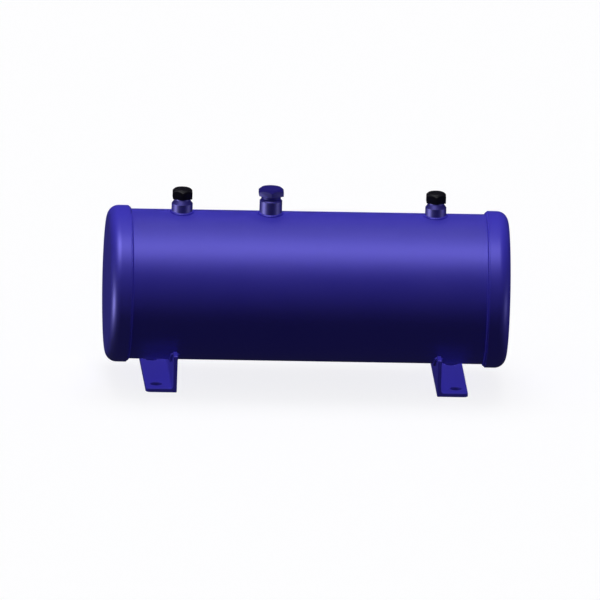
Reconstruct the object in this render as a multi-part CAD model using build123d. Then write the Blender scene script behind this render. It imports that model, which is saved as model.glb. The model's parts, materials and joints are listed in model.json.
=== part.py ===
from build123d import *
import os
from math import acos, cos, degrees, radians, sin, sqrt

# A horizontal liquid receiver for a refrigeration plant: a steel tube closed by two pressed heads, with
# three threaded fittings along its top and two angle feet under it.
# Millimetres. +X runs along the tube, +Z is up, and the origin is the middle of the four foot bolts on the
# plane that the feet stand on.

# The drawn steel tube
shell_diameter = 159.0
shell_wall = 4.0
shell_length = 398.0
floor_clearance = 20.5

# The pressed heads, which slip over the tube's ends
head_wall = 3.4
head_slip_gap = 0.1
head_overlap = 9.0
head_end_gap = 1.4
knuckle_radius = 12.0
crown_radius = 1060.0
rim_round = 0.5

# The inlet and outlet stubs, one near each end
stub_inset = 64.5
thread_diameter = 16.66
stub_shoulder = 2.87
stub_body_rise = 9.6
stub_cone_rise = 4.0
stub_neck_rise = 1.6
stub_thread_length = 7.2
stub_reach_in = 3.0
thread_lead = 1.2
hole_gap = 0.15

# The black caps on the stubs, with a sealing disc inside each
cap_wall = 1.92
cap_top = 2.0
cap_crown_drop = 3.4
cap_crown_round = 2.6
cap_seal_thickness = 1.4
thread_gap = 0.05

# The pick-up tube under the outlet
dip_tube_diameter = 12.0
dip_tube_wall = 1.0
dip_tube_gap = 0.05
dip_socket_depth = 8.0
dip_bottom_gap = 8.0
dip_cut_angle = 45.0

# The relief boss and its plug
relief_offset = -40.5
boss_wall = 3.67
boss_rise = 15.3
boss_edge_chamfer = 1.2
plug_collar_shoulder = 2.02
plug_collar_rise = 3.4
plug_hex_overhang = 2.65
plug_hex_height = 7.8
plug_crown_inset = 4.2
plug_crown_drop = 3.4
plug_thread_length = 12.0
plug_seal_thickness = 1.5

# The angle feet
foot_inset = 61.0
foot_thickness = 4.0
foot_saddle_rise = 19.5
foot_root_round = 3.0
foot_heel_round = 1.0
foot_toe_round = 0.8
foot_corner_round = 5.0
web_corner_round = 1.5
saddle_gap = 0.1
bolt_hole_diameter = 13.0
bolt_pitch_y = 100.0
bolt_edge_x = 12.0
bolt_edge_y = 20.0
bolt_to_web = 17.0

# The welds
head_weld_leg = 2.4
stub_weld_round = 1.8
foot_weld_leg = 2.8
foot_weld_stop = 3.0
weld_bulge = 0.2
weld_gap = 0.1

# Worked out from the sizes above
shell_radius = shell_diameter / 2
shell_bore_radius = shell_radius - shell_wall
shell_end = shell_length / 2
axis_height = floor_clearance + shell_radius
shell_crown = axis_height + shell_radius
shell_bore_crown = axis_height + shell_bore_radius
head_radius = shell_radius + head_slip_gap + head_wall
head_rim = shell_end - head_overlap
head_tangent = shell_end + head_end_gap
stub_position = shell_end - stub_inset
thread_radius = thread_diameter / 2
stub_body_radius = thread_radius + stub_shoulder
stub_bore_radius = dip_tube_diameter / 2 - dip_tube_wall
stub_bottom = shell_bore_crown - stub_reach_in
stub_neck_bottom = shell_crown + stub_body_rise + stub_cone_rise
cap_bottom = stub_neck_bottom + stub_neck_rise
stub_end = cap_bottom + stub_thread_length
cap_height = stub_thread_length + cap_seal_thickness + cap_top
boss_radius = thread_radius + boss_wall
boss_end = shell_crown + boss_rise
plug_collar_radius = thread_radius + plug_collar_shoulder
plug_seat = boss_end + plug_seal_thickness
foot_web_inner = shell_end - foot_inset
foot_web_outer = foot_web_inner + foot_thickness
bolt_x = foot_web_outer + bolt_to_web
foot_edge = bolt_x + bolt_edge_x
foot_length = bolt_pitch_y + 2 * bolt_edge_y
foot_height = floor_clearance + foot_saddle_rise

vessel_axis = Axis((0, 0, axis_height), (1, 0, 0))


def bar_along_x(radius, length):
    """A solid bar on the vessel's axis, half on each side of the middle."""
    return Pos(0, 0, axis_height) * Cylinder(radius, length, rotation=(0, 90, 0))


def turned(points, x):
    """A turned piece on an upright axis at x, from its half section as radius and height pairs."""
    section = make_face(Plane.XZ * Polyline(*points, close=True))
    return Pos(x, 0, 0) * revolve(section, Axis.Z)


def mirrored(solid):
    """The same piece at the other end of the vessel."""
    return mirror(solid, about=Plane.YZ)


def hexagon_radius(across_flats):
    """From the middle of a hexagon to its corners."""
    return across_flats / 2 / cos(radians(30))


def hexagon_bar(across_flats, height, x, z):
    """An upright hexagonal bar with one corner facing the front."""
    outline = Rot(0, 0, 30) * RegularPolygon(hexagon_radius(across_flats), 6)
    return extrude(Pos(x, 0, z) * outline, height)


def fitting_hole(radius, x):
    """The upright cutter for a fitting's hole through the top of the tube."""
    cutter_length = shell_wall + shell_radius
    return Pos(x, 0, shell_crown - shell_radius / 2) * Cylinder(radius + hole_gap, cutter_length)


def make_shell():
    """The tube, with a hole for each of the three fittings."""
    tube = bar_along_x(shell_radius, shell_length) - bar_along_x(shell_bore_radius, shell_length)
    for x in (-stub_position, stub_position):
        tube -= fitting_hole(stub_body_radius, x)
    return tube - fitting_hole(boss_radius, relief_offset)


def head_profile(offset):
    """The right head's outline from its rim to its pole, moved inwards by an offset."""
    reach = head_radius - knuckle_radius
    crown_centre = head_tangent - sqrt((crown_radius - knuckle_radius) ** 2 - reach ** 2)
    knuckle = knuckle_radius - offset
    crown = crown_radius - offset
    turn = acos((head_tangent - crown_centre) / (crown_radius - knuckle_radius))
    rim = (head_rim, axis_height + head_radius - offset)
    tangent = (head_tangent, axis_height + head_radius - offset)
    half_turn = (radians(90) + turn) / 2
    knuckle_middle = (head_tangent + knuckle * cos(half_turn),
                      axis_height + reach + knuckle * sin(half_turn))
    knuckle_end = (crown_centre + crown * cos(turn), axis_height + crown * sin(turn))
    crown_middle = (crown_centre + crown * cos(turn / 2), axis_height + crown * sin(turn / 2))
    pole = (crown_centre + crown, axis_height)
    line = Line(rim, tangent)
    line += ThreePointArc(tangent, knuckle_middle, knuckle_end)
    line += ThreePointArc(knuckle_end, crown_middle, pole)
    return line, rim, pole


def make_right_head():
    """A shallow dished head with a straight skirt, pressed from plate of one thickness."""
    outside, outer_rim, outer_pole = head_profile(0)
    inside, inner_rim, inner_pole = head_profile(head_wall)
    outline = outside + inside + Line(outer_rim, inner_rim) + Line(outer_pole, inner_pole)
    head = revolve(make_face(Plane.XZ * outline), vessel_axis)
    rim_edge = head.edges().filter_by(GeomType.CIRCLE).group_by(Axis.X)[0].sort_by(SortBy.RADIUS)[-1]
    return fillet(rim_edge, rim_round)


def weld_profile(corner_x, corner_height, out_x, out_height, leg):
    """The section of a fillet weld, from its corner out along X and out along the height."""
    corner = (corner_x + out_x * weld_gap, corner_height + out_height * weld_gap)
    toe = (corner_x + out_x * leg, corner[1])
    top = (corner[0], corner_height + out_height * leg)
    middle = (corner_x + out_x * (leg / 2 + weld_bulge), corner_height + out_height * (leg / 2 + weld_bulge))
    outline = Line(toe, corner) + Line(corner, top) + ThreePointArc(top, middle, toe)
    return make_face(Plane.XZ * outline)


def make_right_head_weld():
    """The ring weld in the step between the head's rim and the tube."""
    profile = weld_profile(head_rim, axis_height + shell_radius, -1, 1, head_weld_leg)
    return revolve(profile, vessel_axis)


def make_stub(x):
    """A threaded stub: body through the wall, conical shoulder, neck and thread, bored through."""
    shoulder = shell_crown + stub_body_rise
    return turned([
        (stub_bore_radius, stub_bottom),
        (stub_body_radius, stub_bottom),
        (stub_body_radius, shoulder),
        (thread_radius, stub_neck_bottom),
        (thread_radius, stub_end - thread_lead),
        (thread_radius - thread_lead, stub_end),
        (stub_bore_radius, stub_end),
    ], x)


def make_outlet_stub():
    """The outlet stub also has a socket underneath for the pick-up tube."""
    socket_radius = dip_tube_diameter / 2 + dip_tube_gap
    socket = Cylinder(socket_radius, dip_socket_depth, align=(Align.CENTER, Align.CENTER, Align.MIN))
    return make_stub(stub_position) - Pos(stub_position, 0, stub_bottom) * socket


def make_cap(x):
    """A hexagonal cap with a rounded crown, hollow for the thread and the sealing disc."""
    across_flats = thread_diameter + 2 * cap_wall
    upright = (Align.CENTER, Align.CENTER, Align.MIN)
    crown = Cylinder(hexagon_radius(across_flats), cap_height, align=upright)
    crown = chamfer(crown.edges().sort_by(Axis.Z)[-1], cap_crown_drop)
    crown = fillet(crown.edges().filter_by(GeomType.CIRCLE).sort_by(Axis.Z)[-1], cap_crown_round)
    cap = hexagon_bar(across_flats, cap_height, x, cap_bottom) & Pos(x, 0, cap_bottom) * crown
    hollow = Cylinder(thread_radius + thread_gap, cap_height - cap_top, align=upright)
    return cap - Pos(x, 0, cap_bottom) * hollow


def make_cap_seal(x):
    """The sealing disc between the stub's end and the inside of the cap."""
    disc = Cylinder(thread_radius - thread_gap, cap_seal_thickness)
    return Pos(x, 0, stub_end + cap_seal_thickness / 2) * disc


def make_dip_tube():
    """The pick-up tube, pushed into the outlet stub and cut slanting near the vessel's bottom."""
    top = stub_bottom + dip_socket_depth
    bottom = axis_height - shell_bore_radius + dip_bottom_gap
    length = top - bottom
    radius = dip_tube_diameter / 2
    tube = Cylinder(radius, length) - Cylinder(radius - dip_tube_wall, length)
    tube = Pos(stub_position, 0, (top + bottom) / 2) * tube
    slant = Plane((stub_position - radius, 0, bottom), z_dir=Vector(0, 0, 1).rotate(Axis.Y, -dip_cut_angle))
    return split(tube, bisect_by=slant, keep=Keep.TOP)


def make_relief_boss():
    """The larger boss for the relief plug, threaded inside."""
    bore = thread_radius + thread_gap
    return turned([
        (bore, stub_bottom),
        (boss_radius, stub_bottom),
        (boss_radius, boss_end - boss_edge_chamfer),
        (boss_radius - boss_edge_chamfer, boss_end),
        (bore, boss_end),
    ], relief_offset)


def make_relief_plug():
    """The plug: hexagonal head with turned corners, collar and thread."""
    head_bottom = plug_seat + plug_collar_rise
    head_top = head_bottom + plug_hex_height
    across_flats = 2 * (plug_collar_radius + plug_hex_overhang)
    corner = hexagon_radius(across_flats)
    blank = turned([
        (0, head_bottom),
        (corner, head_bottom),
        (corner, head_top - plug_crown_drop),
        (corner - plug_crown_inset, head_top),
        (0, head_top),
    ], relief_offset)
    head = hexagon_bar(across_flats, plug_hex_height, relief_offset, head_bottom) & blank
    thread_end = boss_end - plug_thread_length
    shank = turned([
        (0, thread_end),
        (thread_radius - thread_lead, thread_end),
        (thread_radius, thread_end + thread_lead),
        (thread_radius, plug_seat),
        (plug_collar_radius, plug_seat),
        (plug_collar_radius, head_bottom),
        (0, head_bottom),
    ], relief_offset)
    return head + shank


def make_relief_plug_seal():
    """The sealing washer between the plug's collar and the boss."""
    return turned([
        (thread_radius + thread_gap, boss_end),
        (plug_collar_radius, boss_end),
        (plug_collar_radius, plug_seat),
        (thread_radius + thread_gap, plug_seat),
    ], relief_offset)


def make_fitting_weld(radius, x):
    """The hollow-faced weld round a fitting, where it stands on the curved tube."""
    upright = (Align.CENTER, Align.CENTER, Align.MIN)
    fitting_height = shell_radius + stub_body_rise
    tube = bar_along_x(shell_radius + weld_gap, shell_length)
    fitting = Pos(x, 0, axis_height) * Cylinder(radius + weld_gap, fitting_height, align=upright)
    joined = tube + fitting
    seam = joined.edges().filter_by(lambda edge: edge.geom_type not in (GeomType.CIRCLE, GeomType.LINE))
    return fillet(seam, stub_weld_round) - tube - fitting


def make_right_foot():
    """A length of steel angle with its flat leg outwards, drilled, and its upright leg cut to a saddle."""
    section = make_face(Polyline(
        (foot_web_inner, 0),
        (foot_edge, 0),
        (foot_edge, foot_thickness),
        (foot_web_outer, foot_thickness),
        (foot_web_outer, foot_height),
        (foot_web_inner, foot_height),
        close=True,
    ))
    for corner, radius in (
        ((foot_web_outer, foot_thickness), foot_root_round),
        ((foot_web_inner, 0), foot_heel_round),
        ((foot_edge, foot_thickness), foot_toe_round),
    ):
        section = fillet(section.vertices().sort_by_distance(corner)[0], radius)
    angle = extrude(Plane.XZ * section, foot_length / 2, both=True)
    plan = Rectangle(foot_edge, foot_length, align=(Align.MIN, Align.CENTER))
    plan = fillet(plan.vertices().group_by(Axis.X)[-1], foot_corner_round)
    foot = angle & extrude(plan, 2 * foot_height, both=True)
    foot = fillet(foot.edges().filter_by(Axis.X).group_by(Axis.Z)[-1], web_corner_round)
    foot -= bar_along_x(shell_radius + saddle_gap, shell_length)
    for y in (-bolt_pitch_y / 2, bolt_pitch_y / 2):
        foot -= Pos(bolt_x, y, foot_thickness / 2) * Cylinder(bolt_hole_diameter / 2, foot_thickness)
    return foot


def make_foot_weld(face_x, side):
    """The curved weld along the saddle, on the web's face at face_x, standing out to one side."""
    profile = weld_profile(face_x, axis_height - shell_radius, side, -1, foot_weld_leg)
    reach = degrees(acos((axis_height - foot_height) / shell_radius)) - foot_weld_stop
    return revolve(profile, vessel_axis, 2 * reach).rotate(vessel_axis, -reach)


right_head = make_right_head()
right_head_weld = make_right_head_weld()
right_foot = make_right_foot()
right_foot_outer_weld = make_foot_weld(foot_web_outer, 1)
right_foot_inner_weld = make_foot_weld(foot_web_inner, -1)

parts = {
    "shell": make_shell(),
    "left_head": mirrored(right_head),
    "right_head": right_head,
    "left_head_weld": mirrored(right_head_weld),
    "right_head_weld": right_head_weld,
    "inlet_stub": make_stub(-stub_position),
    "inlet_stub_weld": make_fitting_weld(stub_body_radius, -stub_position),
    "inlet_cap": make_cap(-stub_position),
    "inlet_cap_seal": make_cap_seal(-stub_position),
    "outlet_stub": make_outlet_stub(),
    "outlet_stub_weld": make_fitting_weld(stub_body_radius, stub_position),
    "outlet_cap": make_cap(stub_position),
    "outlet_cap_seal": make_cap_seal(stub_position),
    "outlet_dip_tube": make_dip_tube(),
    "relief_boss": make_relief_boss(),
    "relief_boss_weld": make_fitting_weld(boss_radius, relief_offset),
    "relief_plug": make_relief_plug(),
    "relief_plug_seal": make_relief_plug_seal(),
    "left_foot": mirrored(right_foot),
    "right_foot": right_foot,
    "left_foot_outer_weld": mirrored(right_foot_outer_weld),
    "left_foot_inner_weld": mirrored(right_foot_inner_weld),
    "right_foot_outer_weld": right_foot_outer_weld,
    "right_foot_inner_weld": right_foot_inner_weld,
}

os.makedirs("parts", exist_ok=True)
for name, shape in parts.items():
    export_step(shape, f"parts/{name}.step")
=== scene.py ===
import json
from math import asin, atan2, cos, hypot, pi, radians, sin

import bmesh
import bpy
from bpy.props import FloatProperty, FloatVectorProperty, PointerProperty
from bpy.types import Operator, Panel, PropertyGroup
from mathutils import Matrix, Vector


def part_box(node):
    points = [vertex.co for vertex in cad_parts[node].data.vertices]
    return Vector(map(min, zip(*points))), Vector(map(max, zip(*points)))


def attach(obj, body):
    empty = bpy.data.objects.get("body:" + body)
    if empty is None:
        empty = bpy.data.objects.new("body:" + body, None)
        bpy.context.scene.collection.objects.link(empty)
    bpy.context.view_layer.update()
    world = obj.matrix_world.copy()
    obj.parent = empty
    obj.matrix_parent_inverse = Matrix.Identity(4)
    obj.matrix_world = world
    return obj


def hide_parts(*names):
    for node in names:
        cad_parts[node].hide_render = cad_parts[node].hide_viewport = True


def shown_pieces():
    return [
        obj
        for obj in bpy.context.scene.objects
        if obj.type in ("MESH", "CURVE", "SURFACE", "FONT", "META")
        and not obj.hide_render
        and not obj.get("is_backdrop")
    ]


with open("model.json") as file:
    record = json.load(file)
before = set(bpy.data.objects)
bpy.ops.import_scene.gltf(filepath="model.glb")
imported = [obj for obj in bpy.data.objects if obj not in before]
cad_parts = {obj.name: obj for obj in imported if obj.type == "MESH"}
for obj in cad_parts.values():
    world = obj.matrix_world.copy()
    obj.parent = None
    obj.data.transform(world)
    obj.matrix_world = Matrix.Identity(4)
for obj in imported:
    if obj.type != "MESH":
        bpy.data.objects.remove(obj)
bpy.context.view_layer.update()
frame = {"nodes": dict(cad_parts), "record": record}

# Dresses a welded liquid receiver: paint on the vessel, pressed heads, rippled weld beads, soft edges on the
# feet, the caps and the plug, and the studio that it stands in. Metres, +X along the vessel, +Z up.

bl_info = {
    "name": "Liquid receiver finish",
    "version": (1, 0, 0),
    "blender": (4, 5, 0),
    "location": "View3D > Sidebar > Receiver",
    "description": "Paints a welded liquid receiver and models its heads, weld beads and soft edges",
    "category": "Add Mesh",
}

MM = 0.001
PHOTO_PIXELS = 600
BODY = "root"

# Places read from the frame
SHELL_LOW, SHELL_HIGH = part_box("shell")
SHELL_RADIUS = (SHELL_HIGH.z - SHELL_LOW.z) / 2
AXIS = Vector((0, 0, (SHELL_HIGH.z + SHELL_LOW.z) / 2))

# Where each light comes from, as the camera's right, up and back
KEY_FROM = (-0.60, 0.73, 0.34)
SECOND_FROM = (0.60, 0.73, 0.34)
TOP_FROM = (0.0, 1.0, -0.09)
BAND_FROM = (-0.22, 0.80, 0.55)
LEFT_FROM = (-0.92, -0.31, 0.19)
RIGHT_FROM = (0.92, -0.31, 0.19)

SLOTS = {part["node"]: part["material_slot"] for part in frame["record"]["subparts"]}
SIDES = {"left": -1, "right": 1}
FITTINGS = ("inlet_stub", "outlet_stub", "relief_boss")

# Points nearer than this are merged
CLOSE = 0.001 * MM

# Steps in a head's dome, in its knuckle, and once round it
ARC_STEPS = 16
TURN_STEPS = 180

# Shares of a weld's leg: how far it is sunk into the steel, how far its far corner is pulled in and how
# widely that is rounded, what stays still next to the root and next to the walls, and how far from the root
# a tapered end reaches
WELD_SINK = 0.18
CORNER_PULL = 0.3
CORNER_ROUND = 0.32
ROOT_SHARE = 0.25
WALL_SHARE = 0.1
END_REACH = 1.2

# How far the ripples bulge towards the next ring, and what a tapered end shrinks to
BULGE = 0.7
END_TAPER = 0.3

# Faces that meet at less than FLAT are one face. Faces on a rounded form meet at less than ROUND. The feet,
# the caps and the plug are shaded smooth below CREASE and get a soft edge above SHARP.
FLAT = radians(0.5)
CREASE = radians(22)
SHARP = radians(28)
ROUND = radians(50)


def hex_colour(text):
    """An sRGB hex colour as the linear RGBA that Blender's sockets take."""
    channels = [int(text[i:i + 2], 16) / 255 for i in (1, 3, 5)]
    linear = [c / 12.92 if c <= 0.04045 else ((c + 0.055) / 1.055) ** 2.4 for c in channels]
    return (*linear, 1.0)


def colour_property(name, description, text):
    """A colour that a user can change, from its hex default."""
    return FloatVectorProperty(name=name, description=description, default=hex_colour(text), size=4,
                               subtype="COLOR", min=0, max=1)


class ReceiverColours(PropertyGroup):
    """Colours of the finishes."""
    enamel: colour_property("Enamel", "Indigo blue of the sprayed enamel", "#3A33BE")
    enamel_thin: colour_property("Thin enamel", "Enamel where the coat is a little thinner", "#423AC4")
    fitting: colour_property("Fitting enamel", "Darker coat over the turned steel fittings", "#241C7A")
    fitting_thin: colour_property("Thin fitting enamel", "The same where steel grey shows through", "#2A2478")
    gloss_tint: colour_property("Gloss tint", "Violet cast of the enamel's highlights", "#9993FF")
    cap: colour_property("Cap nylon", "Black of the moulded caps", "#100E17")
    cap_bloom: colour_property("Cap bloom", "Greyer black where the mould left a bloom", "#1A1724")
    rubber: colour_property("Seal rubber", "Black of the sealing discs", "#0E0E0F")
    rubber_bloom: colour_property("Rubber bloom", "Grey bloom on the sealing discs", "#1B1B1C")
    copper: colour_property("Copper washer", "Soft copper of the plug's washer", "#B4744C")
    copper_dull: colour_property("Dull copper", "Copper that has gone brown", "#8A5236")
    steel: colour_property("Drawn steel", "Bare steel of the pick-up tube", "#A4A7A9")
    steel_dark: colour_property("Steel line", "Darker lines that the drawing die left", "#7E8183")
    floor: colour_property("Floor", "Pale floor of the studio", "#F6F6F7")


class ReceiverStage(PropertyGroup):
    """The camera and the lights."""
    azimuth: FloatProperty(name="Azimuth", default=radians(-3.5), subtype="ANGLE",
                           description="Camera's turn round the vessel from straight in front")
    elevation: FloatProperty(name="Elevation", description="Camera's height above the level",
                             default=radians(15.2), subtype="ANGLE")
    roll: FloatProperty(name="Roll", description="Camera's tilt about its own line of sight",
                        default=radians(1.87), subtype="ANGLE")
    pixel_size: FloatProperty(name="Pixel size", default=1.0587 * MM, unit="LENGTH", precision=6,
                              description="Real size that one pixel of the photograph covers")
    middle_pixel: FloatVectorProperty(name="Middle pixel", default=(306.39, 286.27), size=2,
                                      description="Where the middle of the vessel shows in the photograph")
    distance: FloatProperty(name="Distance", description="From the camera to the vessel", default=2.0,
                            unit="LENGTH")
    key_strength: FloatProperty(name="Key light", description="Light from above, a little to the left",
                                default=1.15)
    second_strength: FloatProperty(name="Second light", default=0.92,
                                   description="Light from above, a little to the right")
    top_strength: FloatProperty(name="Top light", description="Light from straight above", default=1.2)
    band_strength: FloatProperty(name="Band light", default=3.7,
                                 description="Softbox that draws the band along the vessel")
    shadow_share: FloatProperty(name="Shadow share", subtype="FACTOR",
                                description="Part of the top light that casts a shadow", default=0.25)
    strip_strength: FloatProperty(name="Left strip", default=2.6,
                                  description="Strip light that only shines in the gloss")
    edge_strength: FloatProperty(name="Right strip", default=0.5,
                                 description="Weaker strip light on the right")
    fitting_strip: FloatProperty(name="Left fitting strip", default=5.0,
                                 description="The left strip on the stubs and the boss")
    fitting_edge: FloatProperty(name="Right fitting strip", default=1.4,
                                description="The right strip on the stubs and the boss")
    softness: FloatProperty(name="Softness", description="Angle that a light covers in the sky",
                            default=radians(16), subtype="ANGLE")
    band_angle: FloatProperty(name="Band width", description="Angle that the band light covers in the sky",
                              default=radians(36), subtype="ANGLE")
    fill: FloatProperty(name="Fill", description="Even light from all round", default=0.08)
    gloss_fill: FloatProperty(name="Gloss fill", description="Part of the fill that the gloss mirrors",
                              default=0.25, subtype="FACTOR")
    backdrop: FloatProperty(name="Backdrop", description="Brightness behind the floor's edge", default=0.99)
    floor_glow: FloatProperty(name="Floor glow", description="Light that the floor gives off to stay pale",
                              default=0.13)
    floor_size: FloatProperty(name="Floor size", description="Width of the floor", default=12, unit="LENGTH")


class ReceiverSizes(PropertyGroup):
    """Sizes of the details that are modelled here."""
    peel_size: FloatProperty(name="Orange peel", description="Width of a cell in the sprayed coat's texture",
                             default=2.6 * MM, unit="LENGTH", precision=5)
    ripple_pitch: FloatProperty(name="Ripple pitch", default=2.4 * MM, unit="LENGTH", precision=5,
                                description="From one ripple of a weld bead to the next")
    ripple_height: FloatProperty(name="Ripple height", default=0.6 * MM, unit="LENGTH", precision=5,
                                 description="How far a ripple stands above the next dip")
    unevenness: FloatProperty(name="Unevenness", description="How far a bead strays from its even shape",
                              default=0.12 * MM, unit="LENGTH", precision=5)
    soft_edge: FloatProperty(name="Soft edge", default=0.2 * MM, unit="LENGTH", precision=5,
                             description="Width of the rounding on the caps and the plug")
    plate_edge: FloatProperty(name="Plate edge", default=0.5 * MM, unit="LENGTH", precision=5,
                              description="Width of the rounding on the heads' rims and the feet")
    head_wall: FloatProperty(name="Head wall", description="Thickness of a pressed head",
                             default=3.4 * MM, unit="LENGTH", precision=5)
    knuckle_radius: FloatProperty(name="Knuckle radius", default=12 * MM, unit="LENGTH", precision=5,
                                  description="Rounding between a head's dome and skirt")
    crown_radius: FloatProperty(name="Crown radius", description="Radius of a head's shallow dome",
                                default=1060 * MM, unit="LENGTH")


def add_node(tree, kind, settings=None, inputs=None, links=None):
    """Adds a shader node, with its settings, its socket values and its links from (node, socket) pairs."""
    node = tree.nodes.new(kind)
    for name, value in (settings or {}).items():
        setattr(node, name, value)
    for name, value in (inputs or {}).items():
        node.inputs[name].default_value = value
    for name, (source, socket) in (links or {}).items():
        tree.links.new(source.outputs[socket], node.inputs[name])
    return node


def new_material(name):
    """An empty node material with its output and the coordinates that its patterns read."""
    material = bpy.data.materials.new(name)
    material.use_nodes = True
    tree = material.node_tree
    tree.nodes.clear()
    output = add_node(tree, "ShaderNodeOutputMaterial")
    place = add_node(tree, "ShaderNodeTexCoord")
    return material, tree, output, place


def sprayed_enamel(name, colour, thin, tint, gloss_level, dullness, peel_size):
    """Gloss alkyd enamel sprayed on steel: a deep colour under an even gloss, and a faint orange peel that
    breaks up the edge of each highlight."""
    material, tree, output, place = new_material(name)
    coat = add_node(tree, "ShaderNodeTexNoise", inputs={"Scale": 0.014 / MM, "Detail": 3.0},
                    links={"Vector": (place, "Object")})
    tone = add_node(tree, "ShaderNodeMix", {"data_type": "RGBA"}, {6: colour, 7: thin},
                    {"Factor": (coat, "Fac")})
    peel = add_node(tree, "ShaderNodeTexNoise", inputs={"Scale": 1 / peel_size, "Detail": 1.0},
                    links={"Vector": (place, "Object")})
    bump = add_node(tree, "ShaderNodeBump", inputs={"Strength": 0.35, "Distance": 0.06 * MM},
                    links={"Height": (peel, "Fac")})
    gloss = add_node(tree, "ShaderNodeMapRange", inputs={"To Min": dullness, "To Max": dullness + 0.08},
                     links={"Value": (coat, "Fac")})
    shader = add_node(tree, "ShaderNodeBsdfPrincipled",
                      inputs={"IOR": 1.5, "Specular IOR Level": gloss_level, "Specular Tint": tint},
                      links={"Base Color": (tone, 2), "Roughness": (gloss, "Result"),
                             "Normal": (bump, "Normal")})
    tree.links.new(shader.outputs["BSDF"], output.inputs["Surface"])
    return material


def moulded_nylon(colours):
    """Black injection-moulded nylon: a fine spark-eroded texture that keeps its sheen low."""
    material, tree, output, place = new_material("moulded_black_nylon")
    bloom = add_node(tree, "ShaderNodeTexNoise", inputs={"Scale": 1 / (4 * MM), "Detail": 3.0},
                     links={"Vector": (place, "Object")})
    tone = add_node(tree, "ShaderNodeMix", {"data_type": "RGBA"}, {6: colours.cap, 7: colours.cap_bloom},
                    {"Factor": (bloom, "Fac")})
    grain = add_node(tree, "ShaderNodeTexNoise", inputs={"Scale": 1 / (0.5 * MM), "Detail": 2.0},
                     links={"Vector": (place, "Object")})
    bump = add_node(tree, "ShaderNodeBump", inputs={"Strength": 0.4, "Distance": 0.03 * MM},
                    links={"Height": (grain, "Fac")})
    shader = add_node(tree, "ShaderNodeBsdfPrincipled",
                      inputs={"Roughness": 0.55, "IOR": 1.53, "Specular IOR Level": 0.12},
                      links={"Base Color": (tone, 2), "Normal": (bump, "Normal")})
    tree.links.new(shader.outputs["BSDF"], output.inputs["Surface"])
    return material


def moulded_rubber(colours):
    """Nitrile rubber moulded in discs: dull black with a greyish bloom."""
    material, tree, output, place = new_material("moulded_nitrile_rubber")
    bloom = add_node(tree, "ShaderNodeTexNoise", inputs={"Scale": 1 / (2 * MM), "Detail": 4.0},
                     links={"Vector": (place, "Object")})
    tone = add_node(tree, "ShaderNodeMix", {"data_type": "RGBA"},
                    {6: colours.rubber, 7: colours.rubber_bloom}, {"Factor": (bloom, "Fac")})
    shader = add_node(tree, "ShaderNodeBsdfPrincipled", inputs={"Roughness": 0.75, "IOR": 1.52},
                      links={"Base Color": (tone, 2)})
    tree.links.new(shader.outputs["BSDF"], output.inputs["Surface"])
    return material


def drawn_steel(colours):
    """Bright drawn steel tube: fine lines along its length, left by the drawing die."""
    material, tree, output, place = new_material("bright_drawn_steel")
    along = add_node(tree, "ShaderNodeMapping",
                     inputs={"Scale": (1 / (0.3 * MM), 1 / (0.3 * MM), 1 / (25 * MM))},
                     links={"Vector": (place, "Object")})
    lines = add_node(tree, "ShaderNodeTexNoise", inputs={"Scale": 1.0, "Detail": 2.0},
                     links={"Vector": (along, "Vector")})
    tone = add_node(tree, "ShaderNodeMix", {"data_type": "RGBA"}, {6: colours.steel_dark, 7: colours.steel},
                    {"Factor": (lines, "Fac")})
    gloss = add_node(tree, "ShaderNodeMapRange", inputs={"To Min": 0.42, "To Max": 0.28},
                     links={"Value": (lines, "Fac")})
    shader = add_node(tree, "ShaderNodeBsdfPrincipled", inputs={"Metallic": 1.0},
                      links={"Base Color": (tone, 2), "Roughness": (gloss, "Result")})
    tree.links.new(shader.outputs["BSDF"], output.inputs["Surface"])
    return material


def painted_copper(colours):
    """Annealed copper washer with enamel over its rim: only the parts that the spray missed show copper."""
    material, tree, output, place = new_material("annealed_copper_washer")
    low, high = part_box("relief_plug_seal")
    middle = (low + high) / 2
    radius = (high.x - low.x) / 2
    centred = add_node(tree, "ShaderNodeMapping", {"vector_type": "POINT"},
                       {"Location": (-middle.x / radius, 0, 0), "Scale": (1 / radius, 1 / radius, 0)},
                       {"Vector": (place, "Object")})
    away = add_node(tree, "ShaderNodeVectorMath", {"operation": "LENGTH"}, links={0: (centred, "Vector")})
    rim = add_node(tree, "ShaderNodeMapRange", inputs={"From Min": 0.76, "From Max": 0.82},
                   links={"Value": (away, "Value")})
    grain = add_node(tree, "ShaderNodeTexNoise", inputs={"Scale": 1 / (1.5 * MM), "Detail": 3.0},
                     links={"Vector": (place, "Object")})
    metal = add_node(tree, "ShaderNodeMix", {"data_type": "RGBA"},
                     {6: colours.copper_dull, 7: colours.copper}, {"Factor": (grain, "Fac")})
    tone = add_node(tree, "ShaderNodeMix", {"data_type": "RGBA"}, {7: colours.fitting},
                    {"Factor": (rim, "Result"), 6: (metal, 2)})
    bare = add_node(tree, "ShaderNodeMath", {"operation": "SUBTRACT"}, {0: 1.0}, {1: (rim, "Result")})
    shader = add_node(tree, "ShaderNodeBsdfPrincipled", inputs={"Roughness": 0.42},
                      links={"Base Color": (tone, 2), "Metallic": (bare, "Value")})
    tree.links.new(shader.outputs["BSDF"], output.inputs["Surface"])
    return material


def finish(piece, node):
    """Gives a new piece the material of the node that it stands for, parents it to the vessel's body, hides
    that node and records which node the piece stands for.
    """
    piece.data.materials.clear()
    piece.data.materials.append(frame["nodes"][node].data.materials[0])
    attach(piece, BODY)
    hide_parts(node)
    piece["stands_for"] = node


def select_vertices(piece, test):
    """In edit mode, selects just the vertices whose place in the world passes a test."""
    bpy.ops.mesh.select_mode(type="VERT")
    bpy.ops.mesh.select_all(action="DESELECT")
    mesh = bmesh.from_edit_mesh(piece.data)
    for vertex in mesh.verts:
        vertex.select = test(piece.matrix_world @ vertex.co)
    mesh.select_flush_mode()
    bmesh.update_edit_mesh(piece.data)


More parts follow.
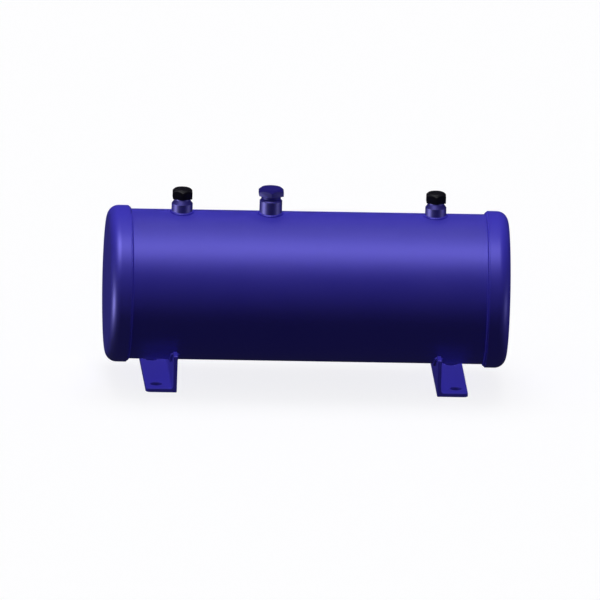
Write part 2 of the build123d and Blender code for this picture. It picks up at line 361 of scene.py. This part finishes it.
def around(place, middle, axis):
    """Where a place lies round an axis: its distance along the axis, its distance out and its angle."""
    away = place - middle
    if axis == "X":
        return away.x, hypot(away.y, away.z), atan2(-away.y, away.z)
    return away.z, hypot(away.x, away.y), atan2(away.y, away.x)


def apply_modifier(piece, name, kind, **settings):
    """Adds a modifier to the active piece with its settings and applies it."""
    modifier = piece.modifiers.new(name, kind)
    for setting, value in settings.items():
        setattr(modifier, setting, value)
    bpy.ops.object.modifier_apply(modifier=name)


def weld_bead(name, root, side, leg, axis, middle, sizes, sweep=2 * pi, begin=0.0):
    """Models a rippled fillet weld. Its section starts as a square on the root corner, a little sunk into
    the steel, whose far corner is pulled in and rounded. The section is spun round the axis, every other
    ring of it is raised, and a subdivision rounds the ripples."""
    turn = Matrix.Rotation(begin, 3, "X")
    out = Vector((side, 0, 1))
    root = root - out * leg * WELD_SINK
    leg = leg * (1 + WELD_SINK)
    bpy.ops.object.select_all(action="DESELECT")
    bpy.ops.mesh.primitive_plane_add(size=leg, location=middle, rotation=(pi / 2 + begin, 0, 0))
    piece = bpy.context.object
    piece.name = name
    bpy.ops.object.mode_set(mode="EDIT")
    bpy.ops.transform.translate(value=turn @ (root - middle + out * leg / 2))
    corner = middle + turn @ (root - middle + out * leg)
    select_vertices(piece, lambda place: (place - corner).length < leg * ROOT_SHARE)
    bpy.ops.transform.translate(value=turn @ (-out * leg * CORNER_PULL))
    bpy.ops.mesh.bevel(affect="VERTICES", offset=leg * CORNER_ROUND, segments=3)
    bpy.ops.mesh.select_all(action="SELECT")
    closed = sweep >= 2 * pi
    if closed:
        bpy.ops.mesh.delete(type="ONLY_FACE")
        bpy.ops.mesh.select_all(action="SELECT")
    radius = around(root, middle, axis)[1] + leg / 2
    ripples = round(sweep * radius / sizes.ripple_pitch)
    line = Vector((1, 0, 0)) if axis == "X" else Vector((0, 0, 1))
    bpy.ops.mesh.spin(steps=2 * ripples, angle=-sweep, center=middle, axis=line)
    bpy.ops.mesh.select_all(action="SELECT")
    bpy.ops.mesh.remove_doubles(threshold=CLOSE)
    bpy.ops.mesh.normals_make_consistent(inside=False)

    root_along, root_out = around(root, middle, axis)[:2]
    ring = sweep / (2 * ripples)

    def number(place):
        """The number of the ring that a place lies on, from 0 where the bead begins."""
        return round(((around(place, middle, axis)[2] - begin + pi) % (2 * pi) - pi) / ring)

    def off_root(place):
        """Whether a place is clear of the root, and of the ends of a bead that has ends."""
        along, distance = around(place, middle, axis)[:2]
        inside = closed or 1 < number(place) < 2 * ripples - 1
        return inside and hypot(along - root_along, distance - root_out) > leg * ROOT_SHARE

    def on_crown(place):
        """Whether a place is clear of both walls too."""
        along, distance = around(place, middle, axis)[:2]
        clear = min(abs(along - root_along), abs(distance - root_out))
        return off_root(place) and clear > leg * WALL_SHARE

    select_vertices(piece, lambda place: off_root(place) and number(place) % 2 == 0)
    bpy.ops.transform.shrink_fatten(value=sizes.ripple_height)
    select_vertices(piece, on_crown)
    bpy.ops.transform.vertex_random(offset=sizes.unevenness, normal=1.0, seed=len(name))
    bpy.ops.transform.rotate(value=ring * BULGE, orient_axis=axis, center_override=middle)
    if not closed:
        for end in (0, 2 * ripples):
            spot = middle + Matrix.Rotation(begin + end * ring, 3, "X") @ (root - middle)
            near = leg * END_REACH
            select_vertices(piece, lambda place: (place - spot).length < near and number(place) == end)
            bpy.ops.transform.resize(value=(END_TAPER, END_TAPER, END_TAPER), center_override=spot)
    bpy.ops.object.mode_set(mode="OBJECT")
    apply_modifier(piece, "rounding", "SUBSURF", levels=1)
    return piece


def settle(piece):
    """Shades a finished piece and moves its place into its mesh."""
    bpy.ops.object.shade_smooth_by_angle(angle=ROUND)
    bpy.ops.object.transform_apply(location=True, rotation=True, scale=True)


def camera_axes(stage):
    """The camera's right, up and back directions."""
    azimuth, elevation, roll = stage.azimuth, stage.elevation, stage.roll
    level = Vector((cos(azimuth), sin(azimuth), 0))
    back = Vector((sin(azimuth) * cos(elevation), -cos(azimuth) * cos(elevation), sin(elevation)))
    upright = back.cross(level)
    right = cos(roll) * level + sin(roll) * upright
    up = cos(roll) * upright - sin(roll) * level
    return right, up, back


def add_light(scene, name, direction, strength, angle, shadow=True, diffuse=True, gloss=True, only_on=None):
    """A soft distant light that comes from a direction given in the camera's right, up and back. It can be
    kept out of the matt shading or the gloss, and can be linked to a collection of pieces."""
    right, up, back = camera_axes(scene.receiver_stage)
    light = bpy.data.lights.new(name, "SUN")
    light.energy = strength
    light.angle = angle
    light.use_shadow = shadow
    lamp = bpy.data.objects.new(name, light)
    toward = right * direction[0] + up * direction[1] + back * direction[2]
    lamp.rotation_euler = toward.to_track_quat("Z", "Y").to_euler()
    lamp.visible_diffuse = diffuse
    lamp.visible_glossy = gloss
    lamp.light_linking.receiver_collection = only_on
    scene.collection.objects.link(lamp)


class RECEIVER_OT_finishes(Operator):
    """Give every piece of the frame the finish of its material slot"""
    bl_idname = "receiver.finishes"
    bl_label = "Paint and finish"

    def execute(self, context):
        colours, sizes = context.scene.receiver_colours, context.scene.receiver_sizes
        finishes = {
            "vessel_enamel": sprayed_enamel(
                "sprayed_alkyd_enamel", colours.enamel, colours.enamel_thin, colours.gloss_tint,
                gloss_level=1.0, dullness=0.40, peel_size=sizes.peel_size),
            "fitting_enamel": sprayed_enamel(
                "thin_alkyd_enamel_on_turned_steel", colours.fitting, colours.fitting_thin,
                colours.gloss_tint, gloss_level=0.85, dullness=0.48, peel_size=sizes.peel_size / 2),
            "black_caps": moulded_nylon(colours),
            "seal_rubber": moulded_rubber(colours),
            "bare_steel": drawn_steel(colours),
            "copper_washer": painted_copper(colours),
        }
        for name, slot in SLOTS.items():
            node = frame["nodes"][name]
            node.data.materials.clear()
            node.data.materials.append(finishes[slot])
        return {"FINISHED"}


class RECEIVER_OT_heads(Operator):
    """Model both pressed heads: a shallow dome, a round knuckle and a straight skirt with a soft rim"""
    bl_idname = "receiver.heads"
    bl_label = "Press the heads"

    def execute(self, context):
        sizes = context.scene.receiver_sizes
        knuckle, crown = sizes.knuckle_radius, sizes.crown_radius
        for end, side in SIDES.items():
            node = f"{end}_head"
            low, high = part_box(node)
            pole, rim = (high.x, low.x) if side > 0 else (low.x, high.x)
            reach = high.z - AXIS.z - knuckle
            turn = asin(reach / (crown - knuckle))
            crown_middle = AXIS + Vector((pole - side * crown, 0, 0))
            knuckle_middle = crown_middle + Vector((side * (crown - knuckle) * cos(turn), 0, reach))
            bpy.ops.object.select_all(action="DESELECT")
            bpy.ops.mesh.primitive_plane_add(size=knuckle, location=AXIS + Vector((pole, 0, 0)))
            piece = context.object
            piece.name = f"{node}_pressed"
            bpy.ops.object.mode_set(mode="EDIT")
            bpy.ops.mesh.select_mode(type="VERT")
            bpy.ops.mesh.select_all(action="SELECT")
            bpy.ops.mesh.merge(type="CENTER")
            for centre, angle in ((crown_middle, turn), (knuckle_middle, pi / 2 - turn)):
                bpy.ops.mesh.spin(steps=ARC_STEPS, angle=side * angle, center=centre, axis=(0, 1, 0))
            skirt = Vector((rim - knuckle_middle.x, 0, 0))
            bpy.ops.mesh.extrude_vertices_move(TRANSFORM_OT_translate={"value": skirt})
            bpy.ops.mesh.select_all(action="SELECT")
            bpy.ops.mesh.spin(steps=TURN_STEPS, angle=2 * pi, center=AXIS, axis=(1, 0, 0))
            bpy.ops.mesh.select_all(action="SELECT")
            bpy.ops.mesh.remove_doubles(threshold=CLOSE)
            bpy.ops.mesh.normals_make_consistent(inside=False)
            bpy.ops.object.mode_set(mode="OBJECT")
            apply_modifier(piece, "plate", "SOLIDIFY", thickness=sizes.head_wall, offset=-1)
            apply_modifier(piece, "rim_edge", "BEVEL", width=sizes.plate_edge, segments=3,
                           limit_method="ANGLE", angle_limit=ROUND)
            settle(piece)
            apply_modifier(piece, "even_shading", "WEIGHTED_NORMAL", weight=100)
            finish(piece, node)
        return {"FINISHED"}


class RECEIVER_OT_head_welds(Operator):
    """Model the ring weld in the step between each head and the tube"""
    bl_idname = "receiver.head_welds"
    bl_label = "Weld the heads"

    def execute(self, context):
        for end, side in SIDES.items():
            node = f"{end}_head_weld"
            low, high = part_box(node)
            leg = high.x - low.x
            rim = high.x if side > 0 else low.x
            root = Vector((rim, 0, high.z - leg))
            piece = weld_bead(f"{node}_bead", root, -side, leg, "X", Vector((rim, 0, AXIS.z)),
                              context.scene.receiver_sizes)
            settle(piece)
            finish(piece, node)
        return {"FINISHED"}


class RECEIVER_OT_fitting_welds(Operator):
    """Model the weld round the foot of each fitting, bent down over the tube"""
    bl_idname = "receiver.fitting_welds"
    bl_label = "Weld the fittings"

    def execute(self, context):
        for fitting in FITTINGS:
            node = f"{fitting}_weld"
            low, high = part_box(node)
            wall_low, wall_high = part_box(fitting)
            middle = Vector(((low.x + high.x) / 2, 0, SHELL_HIGH.z))
            wall = (wall_high.x - wall_low.x) / 2
            leg = (high.x - low.x) / 2 - wall
            root = middle + Vector((wall, 0, 0))
            piece = weld_bead(f"{node}_bead", root, 1, leg, "Z", middle, context.scene.receiver_sizes)
            apply_modifier(piece, "saddle", "SIMPLE_DEFORM", deform_method="BEND", deform_axis="X",
                           angle=-piece.dimensions.z / SHELL_RADIUS)
            settle(piece)
            finish(piece, node)
        return {"FINISHED"}


class RECEIVER_OT_foot_welds(Operator):
    """Model the curved welds on both sides of each foot's saddle"""
    bl_idname = "receiver.foot_welds"
    bl_label = "Weld the feet"

    def execute(self, context):
        for foot, outward in SIDES.items():
            for place, side in (("outer", outward), ("inner", -outward)):
                node = f"{foot}_foot_{place}_weld"
                low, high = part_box(node)
                leg = high.x - low.x
                web = low.x if side > 0 else high.x
                reach = AXIS.z - low.z
                half = asin(high.y / reach)
                root = Vector((web, 0, AXIS.z + reach - leg))
                piece = weld_bead(f"{node}_bead", root, side, leg, "X", Vector((web, 0, AXIS.z)),
                                  context.scene.receiver_sizes, 2 * half, pi - half)
                settle(piece)
                finish(piece, node)
        return {"FINISHED"}


class RECEIVER_OT_soft_edges(Operator):
    """Round off the sharp edges of the feet, the caps and the plug"""
    bl_idname = "receiver.soft_edges"
    bl_label = "Soften the edges"

    def execute(self, context):
        sizes = context.scene.receiver_sizes
        edges = {"left_foot": sizes.plate_edge, "right_foot": sizes.plate_edge,
                 "inlet_cap": sizes.soft_edge, "outlet_cap": sizes.soft_edge, "relief_plug": sizes.soft_edge}
        for node, width in edges.items():
            piece = bpy.data.objects.new(f"{node}_soft_edged", frame["nodes"][node].data.copy())
            context.scene.collection.objects.link(piece)
            bpy.ops.object.select_all(action="DESELECT")
            piece.select_set(True)
            context.view_layer.objects.active = piece
            bpy.ops.object.mode_set(mode="EDIT")
            bpy.ops.mesh.select_all(action="SELECT")
            bpy.ops.mesh.remove_doubles(threshold=CLOSE)
            bpy.ops.mesh.dissolve_limited(angle_limit=FLAT)
            bpy.ops.object.mode_set(mode="OBJECT")
            apply_modifier(piece, "soft_edge", "BEVEL", width=width, segments=2, limit_method="ANGLE",
                           angle_limit=SHARP)
            bpy.ops.object.shade_smooth_by_angle(angle=CREASE)
            finish(piece, node)
            piece.visible_diffuse = not node.endswith("foot")
        return {"FINISHED"}


class RECEIVER_OT_stage(Operator):
    """Set up the floor, the lights and the camera"""
    bl_idname = "receiver.stage"
    bl_label = "Build the studio"

    def execute(self, context):
        scene = context.scene
        stage = scene.receiver_stage
        bpy.ops.object.select_all(action="DESELECT")
        bpy.ops.mesh.primitive_plane_add(size=stage.floor_size)
        floor = context.object
        floor.name = "studio_floor"
        material, tree, output, place = new_material("matt_painted_floor")
        shader = add_node(tree, "ShaderNodeBsdfPrincipled", inputs={
            "Base Color": scene.receiver_colours.floor, "Roughness": 0.9, "Specular IOR Level": 0.1,
            "Emission Color": scene.receiver_colours.floor, "Emission Strength": stage.floor_glow})
        tree.links.new(shader.outputs["BSDF"], output.inputs["Surface"])
        floor.data.materials.append(material)
        floor.visible_diffuse = False
        floor.visible_glossy = False
        floor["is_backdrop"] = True

        right, up, back = camera_axes(stage)
        across = stage.middle_pixel[0] - PHOTO_PIXELS / 2
        down = stage.middle_pixel[1] - PHOTO_PIXELS / 2
        aim = AXIS - right * across * stage.pixel_size + up * down * stage.pixel_size
        data = bpy.data.cameras.new("photo_camera")
        data.type = "ORTHO"
        data.ortho_scale = PHOTO_PIXELS * stage.pixel_size
        camera = bpy.data.objects.new("photo_camera", data)
        camera.matrix_world = (Matrix.Translation(aim + back * stage.distance)
                               @ Matrix((right, up, back)).transposed().to_4x4())
        scene.collection.objects.link(camera)
        scene.camera = camera

        shaded = stage.top_strength * stage.shadow_share
        soft, wide = stage.softness, stage.band_angle
        add_light(scene, "key_light", KEY_FROM, stage.key_strength, soft, shadow=False, gloss=False)
        add_light(scene, "second_light", SECOND_FROM, stage.second_strength, soft, shadow=False, gloss=False)
        add_light(scene, "top_light", TOP_FROM, stage.top_strength - shaded, soft, shadow=False, gloss=False)
        add_light(scene, "shadow_light", TOP_FROM, shaded, wide, gloss=False)
        all_but_plug = [node for node in SLOTS if node != "relief_plug"]
        gloss_lights = (
            ("band_light", BAND_FROM, stage.band_strength, wide, all_but_plug),
            ("left_strip", LEFT_FROM, stage.strip_strength, soft, ["left_head", "relief_plug"]),
            ("right_strip", RIGHT_FROM, stage.edge_strength, soft, ["right_head", "relief_plug"]),
            ("left_fitting_strip", LEFT_FROM, stage.fitting_strip, soft, FITTINGS),
            ("right_fitting_strip", RIGHT_FROM, stage.fitting_edge, soft, FITTINGS))
        for name, direction, strength, angle, nodes in gloss_lights:
            lit = bpy.data.collections.new(f"lit_by_{name}")
            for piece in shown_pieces():
                if piece.get("stands_for", piece.name) in nodes:
                    lit.objects.link(piece)
            add_light(scene, name, direction, strength, angle, shadow=False, diffuse=False, only_on=lit)

        world = bpy.data.worlds.new("studio")
        world.use_nodes = True
        tree = world.node_tree
        tree.nodes.clear()
        output = add_node(tree, "ShaderNodeOutputWorld")
        rays = add_node(tree, "ShaderNodeLightPath")
        white = (1, 1, 1, 1)
        mirrored = stage.fill * stage.gloss_fill
        fill = add_node(tree, "ShaderNodeBackground", inputs={"Color": white, "Strength": stage.fill})
        dim = add_node(tree, "ShaderNodeBackground", inputs={"Color": white, "Strength": mirrored})
        seen = add_node(tree, "ShaderNodeBackground", inputs={"Color": white, "Strength": stage.backdrop})
        around_it = add_node(tree, "ShaderNodeMixShader", links={
            0: (rays, "Is Glossy Ray"), 1: (fill, "Background"), 2: (dim, "Background")})
        behind_it = add_node(tree, "ShaderNodeMixShader", links={
            0: (rays, "Is Camera Ray"), 1: (around_it, "Shader"), 2: (seen, "Background")})
        tree.links.new(behind_it.outputs["Shader"], output.inputs["Surface"])
        scene.world = world
        scene.view_settings.view_transform = "Standard"
        return {"FINISHED"}


class RECEIVER_PT_sidebar(Panel):
    """Lists the steps and their values"""
    bl_idname = "RECEIVER_PT_sidebar"
    bl_label = "Liquid receiver"
    bl_space_type = "VIEW_3D"
    bl_region_type = "UI"
    bl_category = "Receiver"

    def draw(self, context):
        for step in STEPS:
            self.layout.operator(step.bl_idname)
        for group_name, group_class in GROUPS.items():
            box = self.layout.box()
            for name in group_class.__annotations__:
                box.prop(getattr(context.scene, group_name), name)


GROUPS = {
    "receiver_sizes": ReceiverSizes,
    "receiver_colours": ReceiverColours,
    "receiver_stage": ReceiverStage,
}
STEPS = (RECEIVER_OT_finishes, RECEIVER_OT_heads, RECEIVER_OT_head_welds, RECEIVER_OT_fitting_welds,
         RECEIVER_OT_foot_welds, RECEIVER_OT_soft_edges, RECEIVER_OT_stage)


def register():
    for cls in (*GROUPS.values(), *STEPS, RECEIVER_PT_sidebar):
        bpy.utils.register_class(cls)
    for name, group in GROUPS.items():
        setattr(bpy.types.Scene, name, PointerProperty(type=group))


def unregister():
    for name in GROUPS:
        delattr(bpy.types.Scene, name)
    for cls in reversed((*GROUPS.values(), *STEPS, RECEIVER_PT_sidebar)):
        bpy.utils.unregister_class(cls)


def main():
    """Runs every step in order."""
    register()
    bpy.ops.receiver.finishes()
    bpy.ops.receiver.heads()
    bpy.ops.receiver.head_welds()
    bpy.ops.receiver.fitting_welds()
    bpy.ops.receiver.foot_welds()
    bpy.ops.receiver.soft_edges()
    bpy.ops.receiver.stage()


if __name__ == "__main__":
    main()
